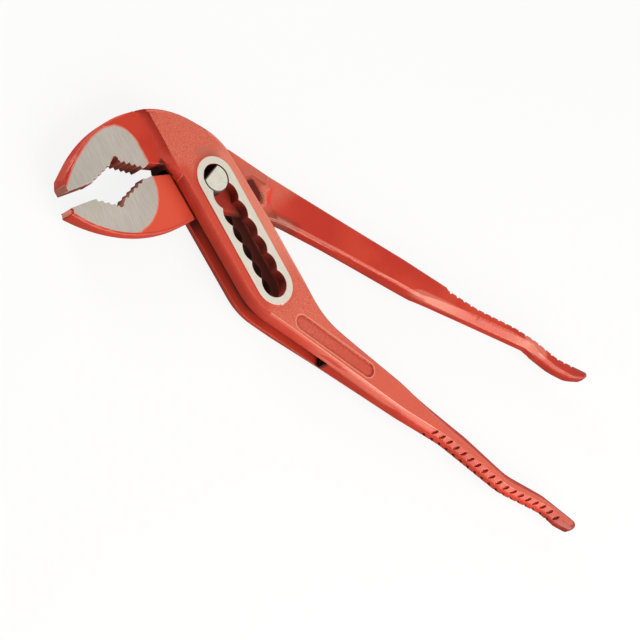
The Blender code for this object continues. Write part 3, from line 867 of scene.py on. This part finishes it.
def shared_wear_and_shade(place, red, cast, fine, clouds, worn, feather, dusty_teeth):
    """The lacquer with wear and grime, painted shade in hollows and cracks, and painted sheen on
    ridges.
    """
    grip = ramp(part_of(place, "X"), *GRIP_START)
    crease = mark(place, "crease")
    red = mix(red, WORN_AND_HIGHLIGHT_RED, worn * (0.55 + 0.25 * grip))
    # The crease strips get a painted sheen, less on the grips.
    paler_share = crease * (0.6 + 0.4 * ramp(cast, 0.38, 0.56))
    red = mix(red, WORN_AND_HIGHLIGHT_RED, paler_share * (0.26 - 0.20 * grip))
    # The pale ridge line is wear and a painted highlight.
    ridge = ramp(mark(place, "top_edge"), 0.55, 0.85) * crease
    red = mix(red, WORN_AND_HIGHLIGHT_RED, 0.75 * ridge)
    red = mix(red, WORN_AND_HIGHLIGHT_RED, 0.5 * feather)
    gap = mark(place, "gap")
    gap_and_low_wall = gap + mark(place, "low_wall") * (1.0 - gap)
    # Painted shade, with grime, in the hollows of one piece.
    hollow = ramp(shut_in(place, HOLLOW_WIDTH, True), 0.35, 0.85)
    red = mix(red, GRIME_AND_SHADE, hollow * (0.5 - 0.4 * gap_and_low_wall - 0.4 * grip))
    teeth = mix(FLANK_BROWN, FLANK_PALE, ramp(fine, *dusty_teeth))
    red = mix(red, teeth, mark(place, "tooth_flank"))
    # The slot's walls are darkened with oil and painted shade.
    red = mix(red, GRIME_AND_SHADE, mark(place, "oiled_and_shaded") * (0.44 + 0.32 * clouds))
    nose = mark(place, "bare_nose") * ramp(cast, 0.34, 0.46)
    red = mix(red, NOSE_PINK, 0.85 * nose)
    # Painted shade, with grime, in the narrow cracks between pieces.
    crack = ramp(shut_in(place, CRACK_WIDTH, False), 0.72, 0.95)
    return mix(red, GRIME_AND_SHADE, crack * (0.9 - 0.8 * grip))


print("grips begin at", GRIP_START[0], "mm")

# %% [markdown]
# ## Ground steel
# The wheel leaves long scratches one way and a few shorter ones across them. They are both
# height, for the Bump node, and brightness, for the colour. Steel that rough scatters more than
# it mirrors, so it is made only part metallic, which keeps it pale from every side.

# %% Ground steel
GRIND_ANGLE = -40.0
STEEL_METALLIC = 0.4


def ground_steel(place, clouds):
    """The height of the grinding scratches, and how bright the steel is."""
    brushed = streaks(place, GRIND_ANGLE, 7.0, 0.16)
    crossed = streaks(place, GRIND_ANGLE + 13.0, 4.0, 0.10)
    bright = ramp(0.45 * brushed + 0.30 * crossed + 0.25 * clouds, 0.36, 0.64)
    return 0.35 * brushed + 0.15 * crossed, bright


print("grinding marks run at", GRIND_ANGLE, "degrees")

# %% [markdown]
# ## Lacquered forging
# A second shader would be the plain way to add steel to lacquer, but one shader whose colour,
# metal and roughness follow a mask bakes cleanly. The patch on the jaw and the rim of the slot
# are that mask. The rough casting of the box shows as bumps and a duller sheen over a stretch
# of X, and each lever hands over the function with its own local dirt, painted shade and
# painted highlights.

# %% Lacquer with ground steel
RIM_HEIGHT = (6.72, 6.76)
SHEEN_TINT = (1.0, 0.88, 0.80, 1.0)


def lacquered(name, outline, rough, dusty_teeth, local_dirt_and_shade):
    """Lacquer with a rough stretch of X, dusty teeth, local dirt and painted shade, and a ground
    patch.
    """
    material, wire = new_material(name)
    place = millimetres(wire)
    z = part_of(place, "Z")
    clouds = grain(place, 0.055, 3.0, 0.55)
    cast = grain(place, 1.35, 4.0, 0.7)
    fine = grain(place, 2.6, 2.0, 0.6)
    flat = mark(wire, "ground_face")
    depth = inside(place, outline) + 0.5 * (grain(place, 0.45, 2.0) - 0.5)
    patch = flat * ramp(depth, -0.08, 0.10)
    feather = flat * band(depth, -0.5, 0.0, 0.2)
    rim = flat * ramp(z.math("ABSOLUTE", z - MIDDLE), *RIM_HEIGHT)
    steel = patch.math("MAXIMUM", patch, rim)
    rounded, worn = worn_edges(wire, cast)
    scratches, bright = ground_steel(place, clouds)

    red = mix(DEEP_RED, BAKED_RED, ramp(clouds, 0.30, 0.62))
    red, dull = local_dirt_and_shade(place, red, cast, fine, flat)
    red = shared_wear_and_shade(place, red, cast, fine, clouds, worn, feather, dusty_teeth)
    colour = mix(red, mix(PATCH_DARK, PATCH_PALE, bright), patch)
    colour = mix(colour, mix(RIM_DARK, RIM_PALE, bright), rim)

    box = band(part_of(place, "X"), *rough)
    skin = 0.31 + 0.08 * ramp(cast, 0.35, 0.7) + 0.12 * box + 0.35 * dull
    bumps = (0.2 + 0.9 * box) * (0.6 * cast + 0.4 * fine)
    relief = bumps + steel * (scratches - bumps)
    bump = {"Strength": 0.6, "Distance": 0.00018, "Height": relief, "Normal": rounded}
    shader = {
        "Base Color": colour,
        "Metallic": STEEL_METALLIC * steel,
        "Roughness": skin + steel * (0.64 - 0.12 * bright - skin),
        "Specular IOR Level": 0.60,
        "Specular Tint": SHEEN_TINT,
        "Normal": wire.node("Bump", None, bump),
    }
    shader = wire.node("BsdfPrincipled", None, shader)
    wire.node("OutputMaterial", None, {"Surface": shader})
    print(name, "has", len(material.node_tree.nodes), "nodes")
    return material


slotted.data.materials.append(
    lacquered("red_lacquer_slotted", UPPER_PATCH, (-22.0, 62.0, 5.0), (0.5, 0.75), slotted_dirt_and_shade)
)
through.data.materials.append(
    lacquered("red_lacquer_through", LOWER_PATCH, (3.0, 24.0, 3.0), (0.22, 0.5), through_dirt_and_shade)
)

# %% [markdown]
# ## The pin
# The pin is turned bar with one flat. Its face is ground together with the rim of the slot,
# so it has the same pale grinding marks, and the sides below it stay dark with oil.

# %% Pin steel
OILED_STEEL = (0.10, 0.088, 0.075, 1.0)
PIN_EDGE_RADIUS = 0.0002

pin_steel, wire = new_material("ground_pin_steel")
place = millimetres(wire)
brushed = streaks(place, GRIND_ANGLE + 95.0, 5.0, 0.14)
smudge = grain(place, 0.35, 3.0, 0.6)
face = mark(wire, "ground_face")
bright = ramp(0.7 * brushed + 0.3 * smudge, 0.34, 0.62)
colour = mix(OILED_STEEL, mix(RIM_DARK, RIM_PALE, bright), face)
soft_edge = wire.node("Bevel", {"samples": 6}, {"Radius": PIN_EDGE_RADIUS})
scratches = {"Strength": 0.4, "Distance": 0.00008, "Height": brushed, "Normal": soft_edge}
shader = {
    "Base Color": colour,
    "Metallic": STEEL_METALLIC,
    "Roughness": 0.62 - 0.12 * bright,
    "Normal": wire.node("Bump", None, scratches),
}
shader = wire.node("BsdfPrincipled", None, shader)
wire.node("OutputMaterial", None, {"Surface": shader})
flatted_pin.data.materials.append(pin_steel)
print("pin steel has", len(pin_steel.node_tree.nodes), "nodes")
